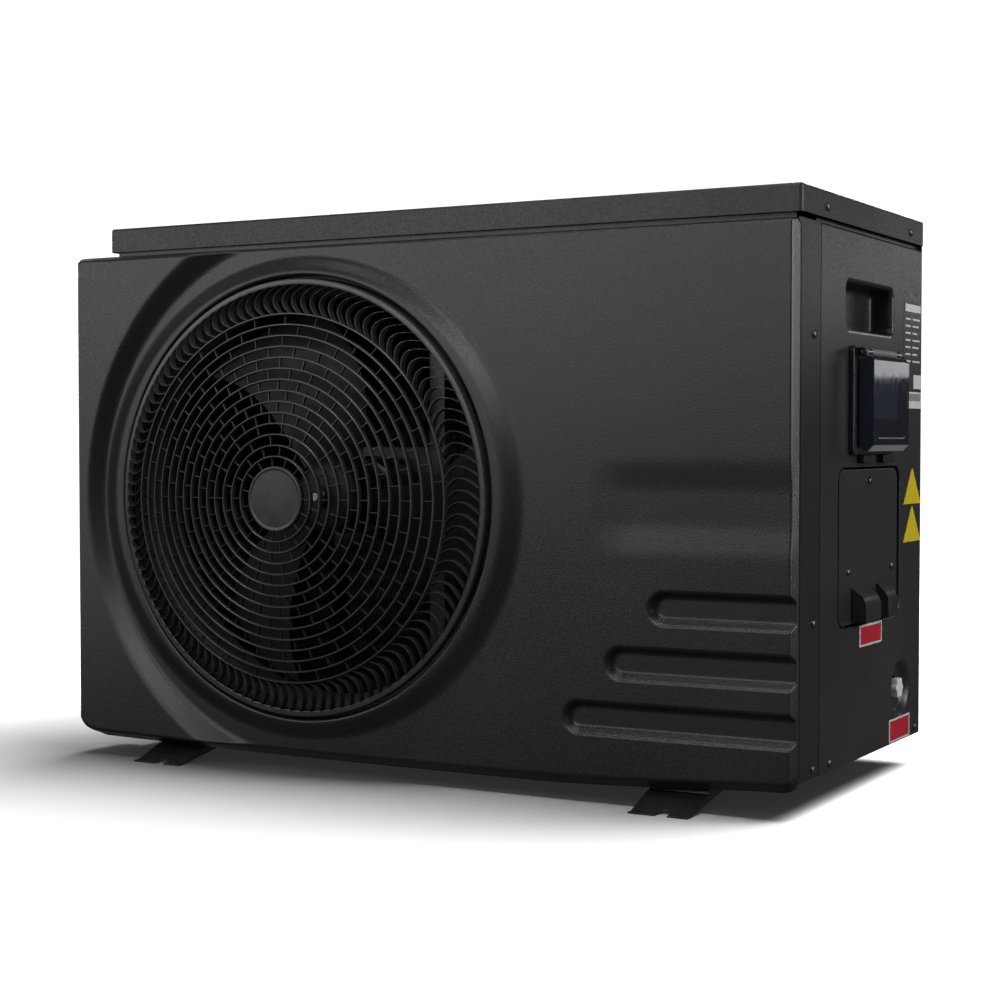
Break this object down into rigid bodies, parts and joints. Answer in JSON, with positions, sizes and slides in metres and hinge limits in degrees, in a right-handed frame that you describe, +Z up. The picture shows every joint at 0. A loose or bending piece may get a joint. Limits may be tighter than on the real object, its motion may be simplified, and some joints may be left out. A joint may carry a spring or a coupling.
{
  "type": "pool heat pump",
  "caption": "Air-source pool heat pump: a black box cabinet with a domed round fan grille in front, a flip-cover controller and wiring cover on one side, and pipe unions behind.",
  "frame": {"origin": "middle of the footprint at floor level, under the feet", "axes": "+X to the right seen from the front, towards the controller side; +Y to the back, towards the pipe unions; +Z up"},
  "size_m": [0.985, 0.5468, 0.668],
  "materials": {
    "moulded_front": "fine leather grain, satin",
    "lid_paint": "fine textured powder coat, satin",
    "cabinet_paint": "fine textured powder coat, satin",
    "black_plastic": "smooth satin",
    "smoked_cover": "clear glossy, dark blue tint",
    "screen_glass": "glossy",
    "rubber": "matt",
    "fastener_steel": "blackened to bright zinc",
    "black_paint": "satin",
    "brass": "dull",
    "copper": "drawn copper, slightly dull",
    "coil_fins": "thin bare fins",
    "grey_pvc": "moulded, satin",
    "white_plastic": "moulded, satin",
    "circuit_board": "lacquered board",
    "terminal_plastic": "satin",
    "galvanised": "galvanised sheet"
  },
  "bodies": {
    "cabinet": {"lid": "lid_paint", "base_pan": "cabinet_paint", "foot_rail_left": "cabinet_paint", "foot_rail_right": "cabinet_paint", "front_panel": "moulded_front", "right_side_panel": "cabinet_paint", "handle_cup": "black_plastic", "left_side_panel": "cabinet_paint", "rear_guard": "cabinet_paint", "rear_panel": "cabinet_paint", "partition_plate": "galvanised", "fan_grille": "black_plastic", "fan_shroud": "black_plastic", "fan_motor": "galvanised", "motor_bracket": "galvanised", "evaporator_coil": "coil_fins", "compressor": "black_paint", "compressor_mount_1": "rubber", "compressor_mount_2": "rubber", "compressor_mount_3": "rubber", "suction_accumulator": "black_paint", "reversing_valve": "brass", "expansion_valve": "brass", "discharge_pipe": "copper", "suction_pipe": "copper", "liquid_pipe": "copper", "heat_exchanger": "grey_pvc", "exchanger_stand": "rubber", "inlet_socket": "white_plastic", "outlet_socket": "white_plastic", "electrical_box": "galvanised", "control_board": "circuit_board", "terminal_block": "terminal_plastic", "access_cover": "cabinet_paint", "cable_hood_large": "black_plastic", "cable_hood_small": "black_plastic", "controller_housing": "black_plastic", "controller_screen": "screen_glass", "cover_hinge_pin": "fastener_steel", "controller_clip_1": "black_plastic", "controller_clip_2": "black_plastic", "access_screw_1": "fastener_steel", "access_screw_2": "fastener_steel", "access_screw_3": "fastener_steel", "wrap_screw_1": "fastener_steel", "wrap_screw_2": "fastener_steel", "wrap_screw_3": "fastener_steel", "lid_screw_1": "fastener_steel", "lid_screw_2": "fastener_steel"},
    "rotor": {"fan_blade": "black_plastic", "fan_shaft": "fastener_steel", "fan_nut": "fastener_steel"},
    "flip_cover": {"controller_cover": "smoked_cover"},
    "button_1": {"controller_button_1": "rubber"},
    "button_2": {"controller_button_2": "rubber"},
    "button_3": {"controller_button_3": "rubber"},
    "button_4": {"controller_button_4": "rubber"},
    "inlet_nut": {"inlet_union_nut": "grey_pvc"},
    "outlet_nut": {"outlet_union_nut": "grey_pvc"},
    "drain_cap": {"drain_cap": "white_plastic"}
  },
  "joints": [
    {"name": "fan_spin", "type": "hinge", "parent": "cabinet", "child": "rotor", "pos_m": [-0.1555, -0.1414, 0.3305], "axis": [0, 1, 0], "continuous": true},
    {"name": "cover_hinge", "type": "hinge", "parent": "cabinet", "child": "flip_cover", "pos_m": [0.4805, 0.0246, 0.498], "axis": [0, -1, 0], "range_deg": [0, 110]},
    {"name": "button_1_press", "type": "slide", "parent": "cabinet", "child": "button_1", "axis": [-1, 0, 0], "range_m": [0, 0.0012], "stiffness_N_per_m": 400},
    {"name": "button_2_press", "type": "slide", "parent": "cabinet", "child": "button_2", "axis": [-1, 0, 0], "range_m": [0, 0.0012], "stiffness_N_per_m": 400},
    {"name": "button_3_press", "type": "slide", "parent": "cabinet", "child": "button_3", "axis": [-1, 0, 0], "range_m": [0, 0.0012], "stiffness_N_per_m": 400},
    {"name": "button_4_press", "type": "slide", "parent": "cabinet", "child": "button_4", "axis": [-1, 0, 0], "range_m": [0, 0.0012], "stiffness_N_per_m": 400},
    {"name": "inlet_nut_turn", "type": "hinge", "parent": "cabinet", "child": "inlet_nut", "pos_m": [0.3385, 0.2466, 0.167], "axis": [0, 1, 0], "range_deg": [-720, 0]},
    {"name": "outlet_nut_turn", "type": "hinge", "parent": "cabinet", "child": "outlet_nut", "pos_m": [0.3385, 0.2466, 0.437], "axis": [0, 1, 0], "range_deg": [-720, 0]},
    {"name": "drain_cap_turn", "type": "hinge", "parent": "cabinet", "child": "drain_cap", "pos_m": [0.4635, 0.1446, 0.101], "axis": [1, 0, 0], "range_deg": [0, 720]}
  ]
}
